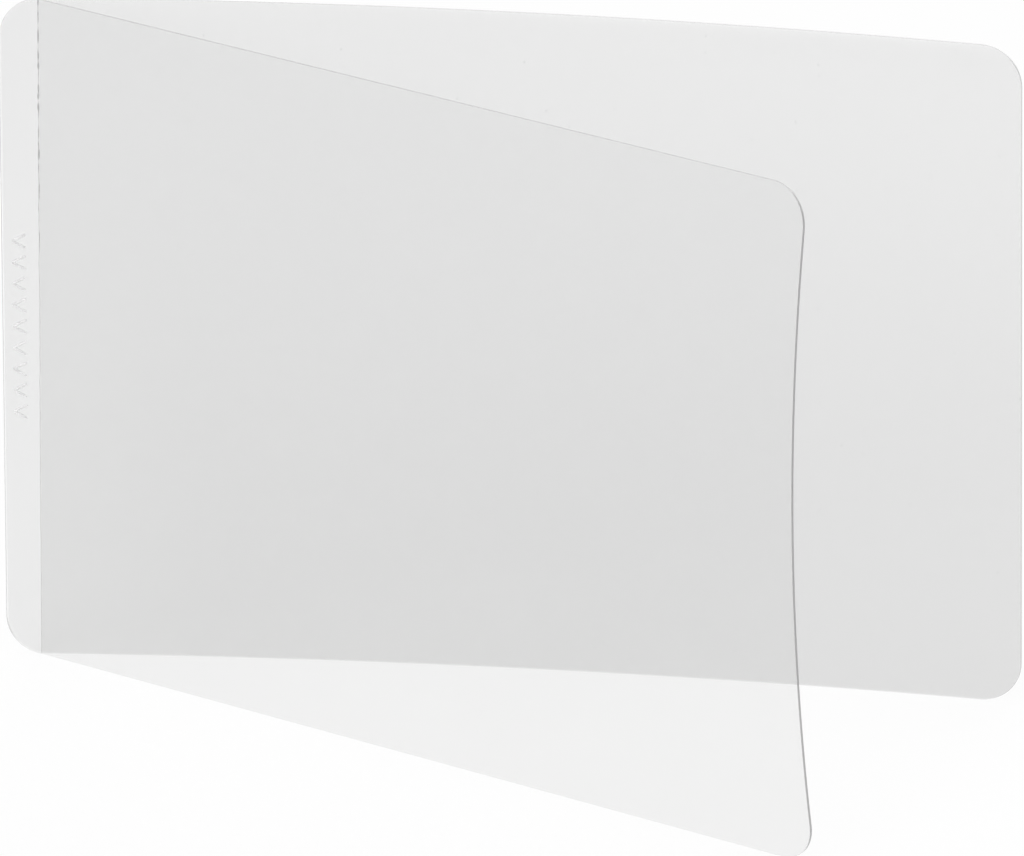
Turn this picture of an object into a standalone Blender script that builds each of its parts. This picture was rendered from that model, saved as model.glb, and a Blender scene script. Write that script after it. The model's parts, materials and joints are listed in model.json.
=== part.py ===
# Laminating pouch for a business card, standing half open like a book.
# Two clear sheets, each a polyester film with a layer of hot-melt adhesive on its inner side,
# are welded along one short edge. Past the weld each sheet is a leaf that swings at its fold.

import math

import bmesh
import bpy
from mathutils import Matrix, Vector

# Cut size of the sheets, in metres
POUCH_LENGTH = 0.0900
POUCH_HEIGHT = 0.0600
CORNER_RADIUS = 0.0036
SEAL_WIDTH = 0.00325

# Layers of one sheet, and the hairline left between two layers
FILM_THICKNESS = 0.000175
ADHESIVE_THICKNESS = 0.000075
BOND_GAP = 0.000005

# Each part stops this far from the line of its fold, so the leaves swing freely
FOLD_CLEARANCE = 0.00025

# Set of the leaves at rest: the front one stands open and bows, the back one curls.
# The front one opens more at its head than at its foot, and the back one curls more there
FRONT_OPENING = math.radians(37.5)
FRONT_TWIST = math.radians(0.9)
FRONT_BOW = 0.0025
FRONT_BOW_GROWTH = 1.5
BACK_CURL_RADIUS = 0.340
BACK_CURL_SPREAD = 0.2

# Fineness of the curved forms
CORNER_SEGMENTS = 6
FRONT_COLUMNS = 14
FRONT_ROWS = 10
BACK_COLUMNS = 20
BACK_ROWS = 4

# Sides of the pouch, as the sign of Y
FRONT = -1
BACK = 1

LEAF_LENGTH = POUCH_LENGTH - SEAL_WIDTH
FILM_START = ADHESIVE_THICKNESS + BOND_GAP
FILM_END = FILM_START + FILM_THICKNESS
FOLD_DEPTH = (FILM_START + FILM_END) / 2


def clear_scene():
    for obj in list(bpy.data.objects):
        bpy.data.objects.remove(obj, do_unlink=True)


def make_material(name, color, roughness, alpha):
    material = bpy.data.materials.new(name)
    material.use_nodes = True
    shader = material.node_tree.nodes["Principled BSDF"]
    shader.inputs["Base Color"].default_value = (*color, 1.0)
    shader.inputs["Roughness"].default_value = roughness
    shader.inputs["Metallic"].default_value = 0.0
    shader.inputs["Alpha"].default_value = alpha
    return material


def film_material(name):
    return make_material(name, (0.86, 0.87, 0.87), 0.12, 0.35)


def adhesive_material(name):
    return make_material(name, (0.82, 0.82, 0.80), 0.45, 0.45)


def die_cut_blank():
    """One sheet as it is cut: flat in the XZ plane, corners rounded, with the fold at X = 0."""
    blank = bmesh.new()
    middle = Vector((POUCH_LENGTH / 2 - SEAL_WIDTH, 0, POUCH_HEIGHT / 2))
    stretch = Matrix.Diagonal((POUCH_LENGTH, 1, POUCH_HEIGHT, 1))
    upright = Matrix.Rotation(math.radians(90), 4, "X")
    placed = Matrix.Translation(middle) @ stretch @ upright
    bmesh.ops.create_grid(blank, x_segments=1, y_segments=1, size=0.5, matrix=placed)
    bmesh.ops.bevel(
        blank,
        geom=blank.verts[:],
        offset=CORNER_RADIUS,
        offset_type="OFFSET",
        segments=CORNER_SEGMENTS,
        profile=0.5,
        affect="VERTICES",
    )
    return blank


def slice_blank(blank, point, normal, trim=False):
    geometry = blank.verts[:] + blank.edges[:] + blank.faces[:]
    bmesh.ops.bisect_plane(
        blank, geom=geometry, dist=1e-7, plane_co=point, plane_no=normal, clear_outer=trim
    )


def slab(blank, side, depth_from, depth_to):
    """Thickens the flat blank between two depths, counted outwards from the middle of the pouch."""
    bmesh.ops.triangulate(blank, faces=blank.faces[:])
    bmesh.ops.translate(blank, verts=blank.verts[:], vec=(0, side * depth_from, 0))
    thick = bmesh.ops.extrude_face_region(blank, geom=blank.faces[:], use_keep_orig=True)
    moved = [item for item in thick["geom"] if isinstance(item, bmesh.types.BMVert)]
    bmesh.ops.translate(blank, verts=moved, vec=(0, side * (depth_to - depth_from), 0))
    bmesh.ops.recalc_face_normals(blank, faces=blank.faces[:])


def seal_layer(side, depth_from, depth_to):
    """A layer of the welded strip, on the outer side of the fold."""
    blank = die_cut_blank()
    slice_blank(blank, (-FOLD_CLEARANCE, 0, 0), (1, 0, 0), trim=True)
    slab(blank, side, depth_from, depth_to)
    return blank


def leaf_layer(side, depth_from, depth_to, columns, rows):
    """A layer of a leaf, still flat, cut into columns and rows where it will bend."""
    blank = die_cut_blank()
    slice_blank(blank, (FOLD_CLEARANCE, 0, 0), (-1, 0, 0), trim=True)
    for column in range(1, columns):
        slice_blank(blank, (LEAF_LENGTH * column / columns, 0, 0), (1, 0, 0))
    for row in range(1, rows):
        slice_blank(blank, (0, 0, POUCH_HEIGHT * row / rows), (0, 0, 1))
    slab(blank, side, depth_from, depth_to)
    return blank


def bow_front(layer):
    """Bows the front leaf outwards, more and more towards its free edge, and twists it at the fold."""
    for vert in layer.verts:
        along = vert.co.x / LEAF_LENGTH
        height = 2 * vert.co.z / POUCH_HEIGHT - 1
        crown = FRONT_BOW * (1 - height * height)
        bow = crown * along**FRONT_BOW_GROWTH
        slope = crown * FRONT_BOW_GROWTH * along ** (FRONT_BOW_GROWTH - 1) / LEAF_LENGTH
        outwards = Vector((-slope, -1, 0)).normalized()
        depth = -vert.co.y - FOLD_DEPTH
        twist = Matrix.Rotation(-FRONT_TWIST * height / 2, 3, "Z")
        vert.co = twist @ (Vector((vert.co.x, -bow, vert.co.z)) + outwards * depth)


def curl_back(layer):
    """Rolls the back leaf towards the front, a little tighter at its head than at its foot."""
    for vert in layer.verts:
        height = vert.co.z / POUCH_HEIGHT - 0.5
        curl = BACK_CURL_RADIUS / (1 + BACK_CURL_SPREAD * height)
        turn = vert.co.x / curl
        radius = curl + vert.co.y - FOLD_DEPTH
        vert.co.x = radius * math.sin(turn)
        vert.co.y = radius * math.cos(turn) - curl


def add_part(name, layer, material, parent, collection):
    mesh = bpy.data.meshes.new(name)
    layer.to_mesh(mesh)
    layer.free()
    mesh.materials.append(material)
    part = bpy.data.objects.new(name, mesh)
    collection.objects.link(part)
    part.parent = parent
    return part


def add_empty(name, location, turn, parent, collection):
    empty = bpy.data.objects.new(name, None)
    collection.objects.link(empty)
    empty.empty_display_size = SEAL_WIDTH
    empty.location = location
    empty.rotation_euler = (0, 0, turn)
    empty.parent = parent
    return empty


def build_seal(root, collection):
    weld = seal_layer(BACK, -ADHESIVE_THICKNESS, ADHESIVE_THICKNESS)
    front = seal_layer(FRONT, FILM_START, FILM_END)
    back = seal_layer(BACK, FILM_START, FILM_END)
    return [
        add_part("seal_weld", weld, adhesive_material("weld_adhesive"), root, collection),
        add_part("front_seal_margin", front, film_material("front_margin_film"), root, collection),
        add_part("back_seal_margin", back, film_material("back_margin_film"), root, collection),
    ]


def build_front_leaf(fold, collection):
    film = leaf_layer(FRONT, FILM_START, FILM_END, FRONT_COLUMNS, FRONT_ROWS)
    adhesive = leaf_layer(FRONT, 0, ADHESIVE_THICKNESS, FRONT_COLUMNS, FRONT_ROWS)
    bow_front(film)
    bow_front(adhesive)
    return [
        add_part("front_film", film, film_material("front_leaf_film"), fold, collection),
        add_part("front_adhesive", adhesive, adhesive_material("front_leaf_adhesive"), fold, collection),
    ]


def build_back_leaf(fold, collection):
    film = leaf_layer(BACK, FILM_START, FILM_END, BACK_COLUMNS, BACK_ROWS)
    adhesive = leaf_layer(BACK, 0, ADHESIVE_THICKNESS, BACK_COLUMNS, BACK_ROWS)
    curl_back(film)
    curl_back(adhesive)
    return [
        add_part("back_film", film, film_material("back_leaf_film"), fold, collection),
        add_part("back_adhesive", adhesive, adhesive_material("back_leaf_adhesive"), fold, collection),
    ]


def stand_on_origin(root, parts):
    """Moves the pouch so that the middle of its footprint is the origin."""
    bpy.context.view_layer.update()
    corners = [part.matrix_world @ vert.co for part in parts for vert in part.data.vertices]
    low = Vector(min(corner[axis] for corner in corners) for axis in range(3))
    high = Vector(max(corner[axis] for corner in corners) for axis in range(3))
    middle = (low + high) / 2
    root.location -= Vector((middle.x, middle.y, low.z))
    bpy.context.view_layer.update()


def build_pouch():
    clear_scene()
    collection = bpy.data.collections.new("laminating_pouch")
    bpy.context.scene.collection.children.link(collection)
    root = add_empty("pouch_frame", (0, 0, 0), 0, None, collection)
    front_fold = add_empty("front_fold", (0, FRONT * FOLD_DEPTH, 0), -FRONT_OPENING, root, collection)
    back_fold = add_empty("back_fold", (0, BACK * FOLD_DEPTH, 0), 0, root, collection)
    parts = build_seal(root, collection)
    parts += build_front_leaf(front_fold, collection)
    parts += build_back_leaf(back_fold, collection)
    stand_on_origin(root, parts)
    for fold in (front_fold, back_fold):
        print(fold.name, [round(value, 6) for value in fold.matrix_world.translation])


build_pouch()
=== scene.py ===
import json
import math

import bpy
from mathutils import Matrix, Vector, noise


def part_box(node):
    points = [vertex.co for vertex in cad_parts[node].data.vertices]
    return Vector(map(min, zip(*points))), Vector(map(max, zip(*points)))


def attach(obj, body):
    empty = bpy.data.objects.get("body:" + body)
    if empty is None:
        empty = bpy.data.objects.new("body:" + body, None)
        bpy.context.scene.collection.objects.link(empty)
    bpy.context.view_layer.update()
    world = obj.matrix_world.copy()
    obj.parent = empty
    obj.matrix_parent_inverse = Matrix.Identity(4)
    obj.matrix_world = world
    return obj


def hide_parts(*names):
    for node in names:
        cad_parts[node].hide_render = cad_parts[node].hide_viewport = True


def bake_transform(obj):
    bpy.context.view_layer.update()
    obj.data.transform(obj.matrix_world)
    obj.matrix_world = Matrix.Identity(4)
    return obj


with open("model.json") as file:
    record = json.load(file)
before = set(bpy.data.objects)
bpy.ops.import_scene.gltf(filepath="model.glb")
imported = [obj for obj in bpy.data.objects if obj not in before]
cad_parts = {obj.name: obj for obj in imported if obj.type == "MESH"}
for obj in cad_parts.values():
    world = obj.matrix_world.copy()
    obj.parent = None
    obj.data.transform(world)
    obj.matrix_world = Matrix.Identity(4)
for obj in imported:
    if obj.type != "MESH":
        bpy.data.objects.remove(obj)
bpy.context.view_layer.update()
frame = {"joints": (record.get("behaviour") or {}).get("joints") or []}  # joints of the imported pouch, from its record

mm = 0.001

# places that the frame gives
joints = {joint["name"]: joint for joint in frame["joints"]}
frontFold = Vector(joints["front_fold"]["pos_m"])
backFold = Vector(joints["back_fold"]["pos_m"])
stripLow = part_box("front_seal_margin")[0]
weldLow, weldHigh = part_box("seal_weld")
middleY = (weldLow.y + weldHigh.y) / 2  # plane between the two sheets
foldDepth = middleY - frontFold.y  # from that plane to a fold axis
sheetDepth = middleY - stripLow.y  # thickness of one coated sheet

sheet = {
    "length": 90 * mm,
    "height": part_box("front_film")[1].z,
    "seal": frontFold.x - stripLow.x,
    "corner": 3.6 * mm,
    "cornerSteps": 14,
    "cornerProfile": 0.5,  # a true arc
    "foldHalf": 0.4 * mm,  # half the width of the bent zone beside the weld
    "stripColumns": 5,
    "foldColumns": 10,
    "leafColumns": 72,
    "rows": 48,
    "edgeRound": 0.045 * mm,  # the die leaves the cut edge a little round
    "edgeSteps": 2,
    "edgeAngle": math.radians(60),  # folds sharper than this are cut edges
    "smoothAngle": math.radians(30),
    "opening": math.radians(37.5),
    "twist": math.radians(0.9),  # how much further the front leaf opens at its head
    "bow": 2.5 * mm,
    "bowGrowth": 1.5,
    "curl": 340 * mm,
    "curlSpread": 0.2,  # how much tighter the back leaf curls at its head, as a share
}
leafLength = sheet["length"] - sheet["seal"]


mixFactor, mixFirst, mixSecond, mixResult = 0, 6, 7, 2  # places of the Mix node's colour sockets


class Wire:  # one socket of a shader tree, with the operators that the materials use
    def __init__(self, tree, socket=None):
        self.tree = tree
        self.socket = socket

    def node(self, kind, settings, sockets, output=0):
        made = self.tree.nodes.new(kind)
        for name, value in settings.items():
            setattr(made, name, value)
        for name, value in sockets.items():
            if isinstance(value, Wire):
                self.tree.links.new(value.socket, made.inputs[name])
            else:
                made.inputs[name].default_value = value
        return Wire(self.tree, made.outputs[output] if made.outputs else None)

    def out(self, name):  # another output of the same node
        return Wire(self.tree, self.socket.node.outputs[name])

    def maths(self, operation, first, second):
        return self.node("ShaderNodeMath", {"operation": operation}, {0: first, 1: second})

    def __add__(self, other):
        return self.maths("ADD", self, other)

    def __radd__(self, other):
        return self.maths("ADD", other, self)

    def __sub__(self, other):
        return self.maths("SUBTRACT", self, other)

    def __rsub__(self, other):
        return self.maths("SUBTRACT", other, self)

    def __mul__(self, other):
        return self.maths("MULTIPLY", self, other)

    def __rmul__(self, other):
        return self.maths("MULTIPLY", other, self)

    def __pow__(self, other):
        return self.maths("POWER", self, other)

    def eased(self, low, high):  # 0 at low, 1 at high
        settings = {"interpolation_type": "SMOOTHSTEP"}
        sockets = {"Value": self, "From Min": low, "From Max": high}
        return self.node("ShaderNodeMapRange", settings, sockets)

    def risingFrom(self, low):  # low where this is 0, and 1 where it is 1
        return low + self * (1 - low)

    def swing(self, width):  # noise about its middle, this wide from end to end
        return (self - noiseMiddle) * width

    def tinted(self, dark, light):  # a colour between two, by this value
        sockets = {mixFactor: self, mixFirst: dark, mixSecond: light}
        return self.node("ShaderNodeMix", {"data_type": "RGBA"}, sockets, mixResult)


def newMaterial(name):
    material = bpy.data.materials.new(name)
    material.use_nodes = True
    material.node_tree.nodes.clear()
    return material, Wire(material.node_tree)


def grey(level, warm=0.0):
    return (level, level, level * (1 - warm), 1)


def noiseOver(place, scale=1, detail=1, dimensions="2D"):
    sockets = {"Vector": place, "Scale": scale, "Detail": detail}
    return place.node("ShaderNodeTexNoise", {"noise_dimensions": dimensions}, sockets)


# materials of the coated sheets

noiseMiddle = 0.5
filmIor = 1.5
adhesiveIor = 1.49
facingBlend = 0.5  # Facing is then 1 minus the cosine of the view
grazePower = 5  # how fast the shine grows towards a grazing view
filmFinish = {
    "roughness": 0.10,
    "mirror": 0.02,  # share of light that the face reflects head on
    "stripHaze": 0.68,  # share of the haze that is left on the welded strip
    "stripShine": 1,  # and of the shine
}
adhesiveFinish = {
    "roughness": 0.30,
    "mirror": 0.015,
    "stripHaze": 0,  # the two adhesive faces melt into one there
    "stripShine": 0,
}
# haze of a sheet: its strength, the share that is gone beside the foot of the fold as painted light, and
# its two tones, the one at the foot darker as painted shade
frontHazeAndPaintedShade = {"alpha": 0.125, "paintedFoldLight": 0, "foot": grey(0.45, 0.012), "head": grey(0.50)}
backHazeAndPaintedShade = {"alpha": 0.19, "paintedFoldLight": 0.14, "foot": grey(0.27), "head": grey(0.46)}
sheetPattern = {
    "cloudScale": 4,  # cloudy patches along one sheet length
    "cloudAlpha": 0.02,
    "cloudTone": 0.3,
    "streakScale": (1.5, 46, 1),  # drawing lines of the film run lengthways
    "speckScale": 45,
    "speckSize": (0.02, 0.07),
    "speckPick": (0.88, 0.90),
    "speckAlpha": 0.06,
    "roughSpread": 0.08,
    "streakBump": 0.02,
    "bumpDistance": 0.02 * mm,
    "weldStep": 0.04 * mm,  # how sharply the adhesive face ends at the weld
    "clearRim": (0.06 * mm, 0.22 * mm),  # the strip is clearest just inside its outer edge
    "rimHaze": 0.45,
    "foldReach": 16 * mm,  # how far the thinner haze beside the fold, which is painted light, reaches
}
seam = {  # the weld runs a little askew
    "lean": 0.40 * mm,  # from its foot to its head
    "plumb": 0.55,  # share of the height where it is true
}


def sheetFace(name, finish, hazeAndShade):
    pattern = sheetPattern
    seal = sheet["seal"]
    material, start = newMaterial(name)
    flat = start.node("ShaderNodeUVMap", {"uv_map": "flat"}, {})
    place = start.node("ShaderNodeSeparateXYZ", {}, {"Vector": flat})
    along = place * sheet["length"]
    height = place.out("Y").eased(0, sheet["height"] / sheet["length"])

    # clouds, drawing lines and specks
    cloud = noiseOver(flat, pattern["cloudScale"])
    drawn = start.node("ShaderNodeMapping", {}, {"Vector": flat, "Scale": pattern["streakScale"]})
    streak = noiseOver(drawn, detail=0)
    cellSockets = {"Vector": flat, "Scale": pattern["speckScale"]}
    cell = start.node("ShaderNodeTexVoronoi", {"voronoi_dimensions": "2D"}, cellSockets)
    pick = start.node("ShaderNodeSeparateColor", {}, {"Color": cell.out("Color")})
    speck = (1 - cell.eased(*pattern["speckSize"])) * pick.eased(*pattern["speckPick"])

    # haze, thinner at the rim and on the strip, and thinned beside the fold as painted light
    lean = (place.out("Y") * (sheet["length"] / sheet["height"]) - seam["plumb"]) * seam["lean"]
    onLeaf = (along - lean).eased(seal - pattern["weldStep"], seal + pattern["weldStep"])
    haze = hazeAndShade["alpha"] + cloud.swing(pattern["cloudAlpha"]) + speck * pattern["speckAlpha"]
    rim = along.eased(*pattern["clearRim"]).risingFrom(pattern["rimHaze"])
    # painted light: the back sheet's haze thins beside the foot of the fold, so it renders lighter there
    paintedFoldLightMask = (1 - along.eased(seal, seal + pattern["foldReach"])) * (1 - height)
    alpha = haze * rim * onLeaf.risingFrom(finish["stripHaze"]) * (1 - hazeAndShade["paintedFoldLight"] * paintedFoldLightMask)

    # shine, stronger towards a grazing view
    facing = start.node("ShaderNodeLayerWeight", {}, {"Blend": facingBlend}, "Facing")
    shine = (facing ** grazePower).risingFrom(finish["mirror"]) * onLeaf.risingFrom(finish["stripShine"])
    bump = start.node("ShaderNodeBump", {}, {
        "Strength": pattern["streakBump"],
        "Distance": pattern["bumpDistance"],
        "Height": streak,
    })
    # painted shade: the colour darkens from the head of each sheet to its foot; the cloud on top is random
    # tone
    shade = height + cloud.swing(pattern["cloudTone"])
    body = start.node("ShaderNodeBsdfPrincipled", {}, {
        "Base Color": shade.tinted(hazeAndShade["foot"], hazeAndShade["head"]),
        "Roughness": finish["roughness"] + streak.swing(pattern["roughSpread"]),
        "Alpha": alpha,
        "Normal": bump,
        "IOR": filmIor,
    })
    mirror = start.node("ShaderNodeBsdfGlossy", {}, {
        "Color": grey(1),
        "Roughness": finish["roughness"],
        "Normal": bump,
    })
    surface = start.node("ShaderNodeMixShader", {}, {0: shine, 1: body, 2: mirror})
    start.node("ShaderNodeOutputMaterial", {}, {"Surface": surface})
    return material


# the cut face's greys are painted shade; the saw noise between them is the die's marks
edgeLook = {
    "dark": grey(0.36),
    "light": grey(0.46),
    "roughness": 0.35,
    "sawScale": 900,  # fine marks of the die along the cut
    "sawAlpha": 0.2,
    "leafStart": (0.03, 0.08),  # shares of the sheet's length
    "endStart": (0.970, 0.998),
    "stripEnd": (0.002, 0.012),
}
# alpha of the cut face, which darkens it as painted shade: on the strip's outer end, along the sides, at
# the head, and on the free end
frontCutPaintedShade = {"strip": 0.35, "side": 0.12, "head": 0.50, "end": 0.84}
backCutPaintedShade = {"strip": 0.35, "side": 0.12, "head": 0.26, "end": 0.52}


def cutEdge(name, cut):
    material, start = newMaterial(name)
    flat = start.node("ShaderNodeUVMap", {"uv_map": "flat"}, {})
    saw = noiseOver(flat, edgeLook["sawScale"])
    along = start.node("ShaderNodeSeparateXYZ", {}, {"Vector": flat})
    high = along.out("Y").eased(0, sheet["height"] / sheet["length"])
    # painted shade: the cut face is made more opaque, so darker, along the strip's end, at the head and
    # most of all on the free end
    head = along.eased(*edgeLook["leafStart"]) * high * (cut["head"] - cut["side"])
    end = along.eased(*edgeLook["endStart"]) * (cut["end"] - cut["side"])
    strip = (1 - along.eased(*edgeLook["stripEnd"])) * (cut["strip"] - cut["side"])
    dark = cut["side"] + strip + start.maths("MAXIMUM", head, end)
    surface = start.node("ShaderNodeBsdfPrincipled", {}, {
        "Base Color": saw.tinted(edgeLook["dark"], edgeLook["light"]),
        "Roughness": edgeLook["roughness"],
        "Alpha": dark * (1 + saw.swing(edgeLook["sawAlpha"])),
        "IOR": filmIor,
    })
    start.node("ShaderNodeOutputMaterial", {}, {"Surface": surface})
    return material


weldLook = {
    "alpha": 0.015,
    "cloud": 0.01,
    "cloudScale": 700,
    "dark": grey(0.55),
    "light": grey(0.75, 0.02),
    "roughness": 0.3,
}
beadLook = {
    "alpha": 0.38,
    "cloud": 0.3,
    "cloudScale": 1500,
    "dark": grey(0.16),
    "light": grey(0.36),
    "roughness": 0.3,
}
markLook = {
    "alpha": 0.56,
    "cloud": 0.2,
    "cloudScale": 2500,
    "dark": grey(0.55),
    "light": grey(0.98),
    "roughness": 0.12,
}


def cloudyPlastic(name, look):
    material, start = newMaterial(name)
    place = start.node("ShaderNodeTexCoord", {}, {}, "Object")
    cloud = noiseOver(place, look["cloudScale"], dimensions="3D")
    surface = start.node("ShaderNodeBsdfPrincipled", {}, {
        "Base Color": cloud.tinted(look["dark"], look["light"]),
        "Roughness": look["roughness"],
        "Alpha": look["alpha"] + cloud.swing(look["cloud"]),
        "IOR": adhesiveIor,
    })
    start.node("ShaderNodeOutputMaterial", {}, {"Surface": surface})
    return material


frontFilm = sheetFace("frontGlossyFilm", filmFinish, frontHazeAndPaintedShade)
frontAdhesive = sheetFace("frontSatinAdhesive", adhesiveFinish, frontHazeAndPaintedShade)
backFilm = sheetFace("backGlossyFilm", filmFinish, backHazeAndPaintedShade)
backAdhesive = sheetFace("backSatinAdhesive", adhesiveFinish, backHazeAndPaintedShade)
frontEdge = cutEdge("frontDieCutPaintedShade", frontCutPaintedShade)
backEdge = cutEdge("backDieCutPaintedShade", backCutPaintedShade)
weldPlastic = cloudyPlastic("meltedAdhesive", weldLook)
beadPlastic = cloudyPlastic("squeezedBead", beadLook)
markPlastic = cloudyPlastic("embossedMark", markLook)
print("materials ready")


# shaping tools

sliceReach = 0.0001 * mm
mergeReach = 0.0005 * mm


def flatBlank(name):  # one sheet as it is cut, flat in XY with the fold at X 0, left in edit mode
    bpy.ops.object.select_all(action="DESELECT")
    bpy.ops.mesh.primitive_plane_add(size=1, calc_uvs=False)
    piece = bpy.context.object
    piece.name = name
    piece.data.name = name
    bpy.ops.object.mode_set(mode="EDIT")
    bpy.ops.mesh.select_all(action="SELECT")
    bpy.ops.transform.resize(value=(sheet["length"], sheet["height"], 1), center_override=(0, 0, 0))
    bpy.ops.transform.translate(value=(sheet["length"] / 2 - sheet["seal"], sheet["height"] / 2, 0))
    bpy.ops.mesh.bevel(
        offset=sheet["corner"],
        offset_type="OFFSET",
        segments=sheet["cornerSteps"],
        profile=sheet["cornerProfile"],
        affect="VERTICES",
    )
    return piece


def sliceAt(place, normal, trim=False):
    bpy.ops.mesh.select_all(action="SELECT")
    bpy.ops.mesh.bisect(plane_co=place, plane_no=normal, clear_outer=trim, threshold=sliceReach)


def sliceColumns(low, high, count):
    for step in range(count):
        sliceAt((low + (high - low) * step / count, 0, 0), (1, 0, 0))


def sliceRows(count):
    for step in range(1, count):
        sliceAt((0, sheet["height"] * step / count, 0), (0, 1, 0))


def keepFlatPlaces(piece):  # the flat sheet is its own pattern map, one unit for its length
    bpy.ops.object.mode_set(mode="OBJECT")
    layer = piece.data.uv_layers.new(name="flat")
    for loop, spot in zip(piece.data.loops, layer.data):
        place = piece.data.vertices[loop.vertex_index].co
        spot.uv = ((place.x + sheet["seal"]) / sheet["length"], place.y / sheet["length"])


def moveVertices(piece, placeFor):
    for vertex in piece.data.vertices:
        vertex.co = placeFor(vertex.co.x, vertex.co.y)
    piece.data.update()


def pickOnly(*pieces):
    bpy.ops.object.select_all(action="DESELECT")
    for piece in pieces:
        piece.select_set(True)
    bpy.context.view_layer.objects.active = pieces[0]


def applyModifiers(piece):
    bpy.context.view_layer.objects.active = piece
    for modifier in list(piece.modifiers):
        bpy.ops.object.modifier_apply(modifier=modifier.name)


def mergePoints(piece):  # cuts that meet leave a few points on top of each other
    pickOnly(piece)
    bpy.ops.object.mode_set(mode="EDIT")
    bpy.ops.mesh.select_all(action="SELECT")
    bpy.ops.mesh.remove_doubles(threshold=mergeReach)
    bpy.ops.object.mode_set(mode="OBJECT")


# the two coated sheets

def frontPlace(along, up):  # inner face of the front sheet: flat strip, tight bend, bowed leaf
    half = sheet["foldHalf"]
    opening = sheet["opening"] + sheet["twist"] * (up / sheet["height"] - 0.5)
    bend = opening / (2 * half)  # turn for each metre of the bent zone
    inBend = min(max(along + half, 0), 2 * half)
    turn = bend * inBend
    x = min(along, -half) + math.sin(turn) / bend
    y = -(1 - math.cos(turn)) / bend
    past = max(along - half, 0)
    x += past * math.cos(turn)
    y -= past * math.sin(turn)
    share = max(along, 0) / leafLength
    crown = 1 - (2 * up / sheet["height"] - 1) ** 2
    outwards = sheet["bow"] * crown * share ** sheet["bowGrowth"] - foldDepth
    x -= outwards * math.sin(turn)
    y -= outwards * math.cos(turn)
    return Vector((frontFold.x + x, frontFold.y + y, up))


def backPlace(along, up):  # inner face of the back sheet: flat strip, curled leaf
    curl = sheet["curl"] / (1 + sheet["curlSpread"] * (up / sheet["height"] - 0.5))
    turn = max(along, 0) / curl
    x = min(along, 0) + (curl - foldDepth) * math.sin(turn)
    y = (curl - foldDepth) * math.cos(turn) - curl
    return Vector((backFold.x + x, backFold.y + y, up))


filmSlot, adhesiveSlot, edgeSlot = 0, 1, 2  # order of a sheet's materials


def makeSheet(name, placeFor, outwards, faces):
    piece = flatBlank(name)
    half = sheet["foldHalf"]
    sliceColumns(-sheet["seal"], -half, sheet["stripColumns"])
    sliceColumns(-half, half, sheet["foldColumns"])
    sliceColumns(half, leafLength, sheet["leafColumns"])
    sliceRows(sheet["rows"])
    keepFlatPlaces(piece)
    moveVertices(piece, placeFor)
    for material in faces:
        piece.data.materials.append(material)
    solid = piece.modifiers.new("thickness", "SOLIDIFY")
    solid.thickness = sheetDepth
    solid.offset = -outwards  # the blank's own normal points to the viewer
    solid.material_offset_rim = edgeSlot
    applyModifiers(piece)
    for face in piece.data.polygons:
        if face.material_index == filmSlot and face.normal.y * outwards < 0:
            face.material_index = adhesiveSlot
    soften = piece.modifiers.new("cutEdge", "BEVEL")
    soften.width = sheet["edgeRound"]
    soften.segments = sheet["edgeSteps"]
    soften.limit_method = "ANGLE"
    soften.angle_limit = sheet["edgeAngle"]
    soften.material = edgeSlot
    applyModifiers(piece)
    mergePoints(piece)
    bpy.ops.object.shade_smooth_by_angle(angle=sheet["smoothAngle"])
    return piece


frontSheet = makeSheet("frontSheet", frontPlace, -1, (frontFilm, frontAdhesive, frontEdge))
backSheet = makeSheet("backSheet", backPlace, 1, (backFilm, backAdhesive, backEdge))
for piece, fold, leaf, nodes in (
    (frontSheet, frontFold, "front_leaf", ("front_seal_margin", "front_film", "front_adhesive")),
    (backSheet, backFold, "back_leaf", ("back_seal_margin", "back_film", "back_adhesive")),
):
    reach = Vector((sheet["foldHalf"], 0, 0))
    tuple(fold - reach)
    tuple(fold + reach)
    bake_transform(piece)
    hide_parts(*nodes)
print("sheets made", len(frontSheet.data.polygons), len(backSheet.data.polygons), "faces")


# the weld between the sheets

weld = {
    "inset": 0.04 * mm,  # inside the cut edges
    "rows": 150,
    "wander": 0.05 * mm,  # how far its inner edge strays
    "wanderStep": 1.3 * mm,
    "wanderSeed": (3.1, 0.7),
    "strayPower": 4,  # how fast the stray dies out away from the inner edge
    "play": 0.008 * mm,  # hairline to each film
    "beadRadius": 0.05 * mm,
    "beadSides": 10,
    "beadStep": 0.45 * mm,
    "beadSeed": (8.3, 1.9),
    "beadRows": 260,
    "beadThick": 1.6,  # of the radius, where it is lumpy
    "beadThin": 0.36,
    "beadFill": 0.3,  # its fullness between lumps and gaps
    "beadContrast": 1.6,
    "beadFade": (0.55, 0.8),  # shares of the height between which it thins out downwards
    "smoothAngle": math.radians(40),
}


def weldStray(up):  # how far the inner edge of the weld is from the fold
    wander = noise.noise((up / weld["wanderStep"], *weld["wanderSeed"])) * weld["wander"]
    return wander + (up / sheet["height"] - seam["plumb"]) * seam["lean"]


def weldPlace(along, up):
    edge = min(max((along + sheet["seal"]) / sheet["seal"], 0), 1)  # 1 at the inner edge
    stray = weldStray(up)
    middle = sheet["height"] / 2
    inset = 1 - weld["inset"] / middle
    left = weld["inset"] * (1 - edge)
    x = frontFold.x + along + left + stray * edge ** weld["strayPower"]
    return Vector((x, middleY, middle + (up - middle) * inset))


def makeWeld():
    piece = flatBlank("sealWeld")
    sliceAt((-weld["wander"], 0, 0), (1, 0, 0), trim=True)
    sliceRows(weld["rows"])
    bpy.ops.object.mode_set(mode="OBJECT")
    moveVertices(piece, weldPlace)
    piece.data.materials.append(weldPlastic)
    solid = piece.modifiers.new("thickness", "SOLIDIFY")
    solid.thickness = weldHigh.y - weldLow.y - 2 * weld["play"]
    solid.offset = 0
    applyModifiers(piece)
    return piece


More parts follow.
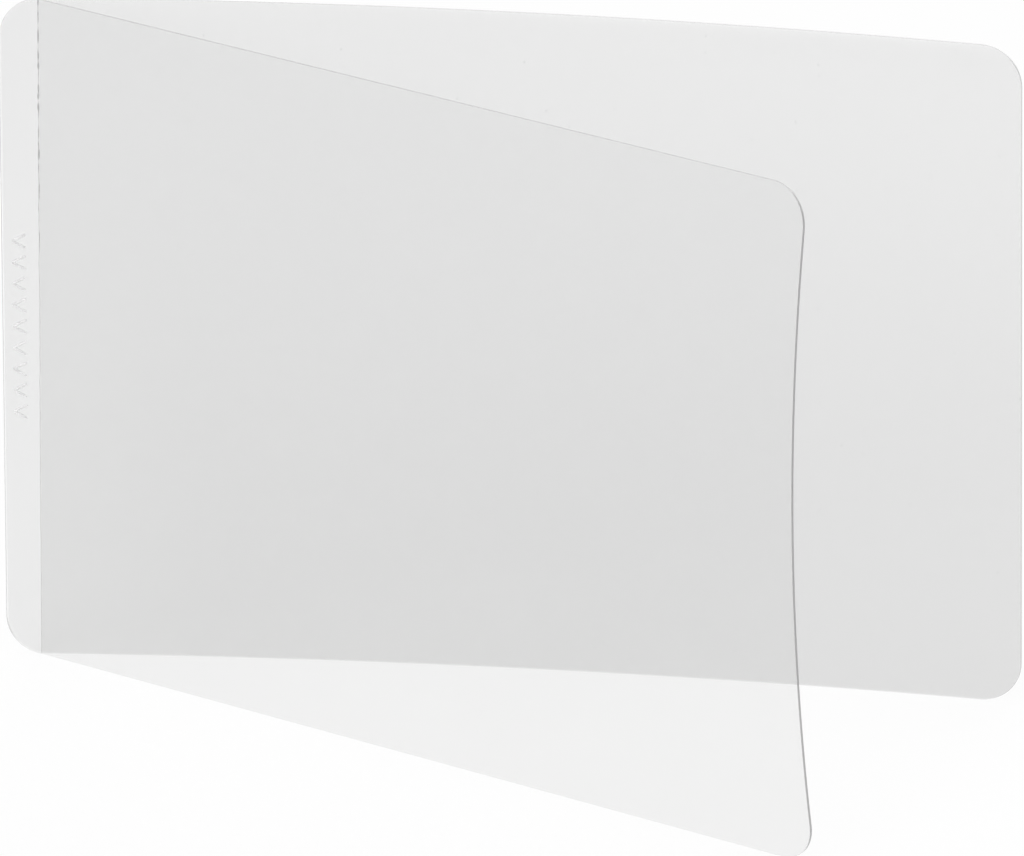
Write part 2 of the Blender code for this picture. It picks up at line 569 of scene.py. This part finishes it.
def makeBead():  # adhesive squeezed out along the inner edge of the weld
    height = sheet["height"] - 2 * weld["inset"]
    bpy.ops.object.select_all(action="DESELECT")
    bpy.ops.mesh.primitive_cylinder_add(vertices=weld["beadSides"], radius=weld["beadRadius"], depth=height)
    piece = bpy.context.object
    piece.name = "weldBead"
    bpy.ops.object.mode_set(mode="EDIT")
    for step in range(1, weld["beadRows"]):
        sliceAt((0, 0, height * (step / weld["beadRows"] - 0.5)), (0, 0, 1))
    bpy.ops.object.mode_set(mode="OBJECT")
    low, high = weld["beadFade"]
    for vertex in piece.data.vertices:
        up = vertex.co.z + sheet["height"] / 2
        fade = min(max((up / sheet["height"] - low) / (high - low), 0), 1)
        ripple = noise.noise((up / weld["beadStep"], *weld["beadSeed"]))
        lump = max(weld["beadFill"] + ripple * weld["beadContrast"], 0)
        thick = weld["beadThin"] + (weld["beadThick"] - weld["beadThin"]) * fade * lump
        vertex.co.x = frontFold.x + weldStray(up) + vertex.co.x * thick
        vertex.co.y = middleY + vertex.co.y * thick
        vertex.co.z = up
    piece.data.materials.append(beadPlastic)
    return piece


sealWeld = makeWeld()
weldBead = makeBead()
for piece in (sealWeld, weldBead):
    pickOnly(piece)
    bpy.ops.object.shade_smooth_by_angle(angle=weld["smoothAngle"])
    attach(piece, "seal_strip")
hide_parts("seal_weld")
print("weld made")


# plain embossed chevrons on the strip, pointing to the edge that is fed first

marks = {
    "count": 9,
    "low": 22.4 * mm,
    "high": 38.0 * mm,
    "fromEdge": 1.5 * mm,  # middle of the row, from the strip's outer edge
    "reach": 1.15 * mm,  # across the strip
    "tall": 1.2 * mm,
    "stroke": 0.20 * mm,
    "proud": 0.08 * mm,
    "round": 0.9,  # rounding of the ridge, as a share of its height
    "roundSteps": 3,
    "smoothAngle": math.radians(40),
}


def makeArm(rise):  # one arm of a chevron, a long low ridge
    run = marks["reach"]
    half = marks["tall"] / 2
    long = math.hypot(run, half)
    bpy.ops.object.select_all(action="DESELECT")
    bpy.ops.mesh.primitive_cube_add(size=1)
    arm = bpy.context.object
    bpy.ops.object.mode_set(mode="EDIT")
    bpy.ops.mesh.select_all(action="SELECT")
    size = (long, 2 * marks["proud"], marks["stroke"])
    bpy.ops.transform.resize(value=size, center_override=(0, 0, 0))
    rounding = marks["round"] * marks["proud"]
    bpy.ops.mesh.bevel(offset=rounding, segments=marks["roundSteps"], affect="EDGES")
    bpy.ops.object.mode_set(mode="OBJECT")
    turn = Matrix.Rotation(-math.atan2(rise * half, run), 4, "Y")
    arm.data.transform(Matrix.Translation((0, 0, rise * half / 2)) @ turn)
    return arm


def makeChevron():  # two arms grown into one ridge
    lower, upper = makeArm(-1), makeArm(1)
    grown = lower.modifiers.new("grown", "BOOLEAN")
    grown.operation = "UNION"
    grown.object = upper
    applyModifiers(lower)
    bpy.data.objects.remove(upper, do_unlink=True)
    mergePoints(lower)
    return lower


def makeMarks():
    pattern = makeChevron()
    chevrons = []
    for step in range(marks["count"]):
        chevron = pattern.copy()
        chevron.data = pattern.data.copy()
        bpy.context.collection.objects.link(chevron)
        up = marks["low"] + (marks["high"] - marks["low"]) * step / (marks["count"] - 1)
        chevron.data.transform(Matrix.Translation((stripLow.x + marks["fromEdge"], stripLow.y, up)))
        chevrons.append(chevron)
    bpy.data.objects.remove(pattern, do_unlink=True)
    pickOnly(*chevrons)
    bpy.ops.object.join()
    piece = bpy.context.object
    piece.name = "feedMarks"
    piece.data.materials.append(markPlastic)
    bpy.ops.object.shade_smooth_by_angle(angle=marks["smoothAngle"])
    return piece


feedMarks = makeMarks()
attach(feedMarks, "seal_strip")
print("marks made")


# floor, light and camera

stage = {
    "floorSize": 4.0,
    "floorDrop": 0.1 * mm,
    "floorColour": grey(0.93),
    "floorWhite": 0.88,  # share of the floor that is plain white to the eye, the rest takes the shadow
    "ambient": 0.34,
}
lamps = {  # level is the light that a surface facing the lamp gets from it
    "leftKey": {"azimuth": -32, "elevation": 20, "distance": 2.4, "size": 1.2, "level": 0.68},
    "topFill": {"azimuth": 0, "elevation": 88, "distance": 1.5, "size": 1.0, "level": 0.40},
    "backFill": {"azimuth": 155, "elevation": 25, "distance": 2.4, "size": 1.6, "level": 0.36},
}
wattsPerLevel = 9.87  # power of a lamp one metre away that gives level 1
shot = {
    "elevation": math.radians(18.01),
    "azimuth": math.radians(2.77),
    "roll": math.radians(0.153),
    "distance": 1325.5 * mm,
    "lens": 535.68,
    "clipEnd": 10.0,
    "aim": Vector((41.44 * mm, -4.58 * mm, 22.84 * mm)),  # from the foot of the fold
}


def seenDirectly(start):  # 1 where the eye, a reflection or clear plastic shows the surface
    eye = start.node("ShaderNodeLightPath", {}, {}, "Is Camera Ray")
    seen = start.maths("MAXIMUM", eye, eye.out("Is Glossy Ray"))
    return start.maths("MAXIMUM", seen, eye.out("Is Transmission Ray"))


def makeFloor():
    bpy.ops.object.select_all(action="DESELECT")
    bpy.ops.mesh.primitive_plane_add(size=stage["floorSize"], location=(0, 0, -stage["floorDrop"]))
    floor = bpy.context.object
    floor.name = "floor"
    material, start = newMaterial("paleFloor")
    matt = start.node("ShaderNodeBsdfDiffuse", {}, {"Color": stage["floorColour"]})
    white = start.node("ShaderNodeEmission", {}, {"Color": grey(1), "Strength": 1})
    share = seenDirectly(start) * stage["floorWhite"]
    surface = start.node("ShaderNodeMixShader", {}, {0: share, 1: matt, 2: white})
    start.node("ShaderNodeOutputMaterial", {}, {"Surface": surface})
    floor.data.materials.append(material)


def makeWorld():
    world = bpy.data.worlds.new("studio")
    bpy.context.scene.world = world
    world.use_nodes = True
    world.node_tree.nodes.clear()
    start = Wire(world.node_tree)
    soft = start.node("ShaderNodeBackground", {}, {"Color": grey(1), "Strength": stage["ambient"]})
    white = start.node("ShaderNodeBackground", {}, {"Color": grey(1), "Strength": 1})
    surface = start.node("ShaderNodeMixShader", {}, {0: seenDirectly(start), 1: soft, 2: white})
    start.node("ShaderNodeOutputWorld", {}, {"Surface": surface})


def towards(azimuth, elevation):  # azimuth 0 is the front, and grows to the right
    level = math.cos(elevation)
    return Vector((math.sin(azimuth) * level, -math.cos(azimuth) * level, math.sin(elevation)))


def makeLamp(name, plan):
    data = bpy.data.lights.new(name, "AREA")
    data.energy = wattsPerLevel * plan["level"] * plan["distance"] ** 2
    data.size = plan["size"]
    lamp = bpy.data.objects.new(name, data)
    bpy.context.scene.collection.objects.link(lamp)
    out = towards(math.radians(plan["azimuth"]), math.radians(plan["elevation"]))
    lamp.location = Vector((0, 0, sheet["height"] / 2)) + out * plan["distance"]
    lamp.rotation_euler = (-out).to_track_quat("-Z", "Y").to_euler()


def makeCamera():
    data = bpy.data.cameras.new("camera")
    data.lens = shot["lens"]
    data.clip_end = shot["clipEnd"]
    camera = bpy.data.objects.new("camera", data)
    bpy.context.scene.collection.objects.link(camera)
    back = towards(shot["azimuth"], shot["elevation"])
    aim = Vector((frontFold.x, middleY, 0)) + shot["aim"]
    turned = (-back).to_track_quat("-Z", "Y").to_matrix().to_4x4()
    rolled = Matrix.Rotation(-shot["roll"], 4, "Z")
    camera.matrix_world = Matrix.Translation(aim + back * shot["distance"]) @ turned @ rolled
    bpy.context.scene.camera = camera


makeFloor()
makeWorld()
for name, plan in lamps.items():
    makeLamp(name, plan)
makeCamera()
bpy.context.scene.view_settings.view_transform = "Standard"
print("studio ready")
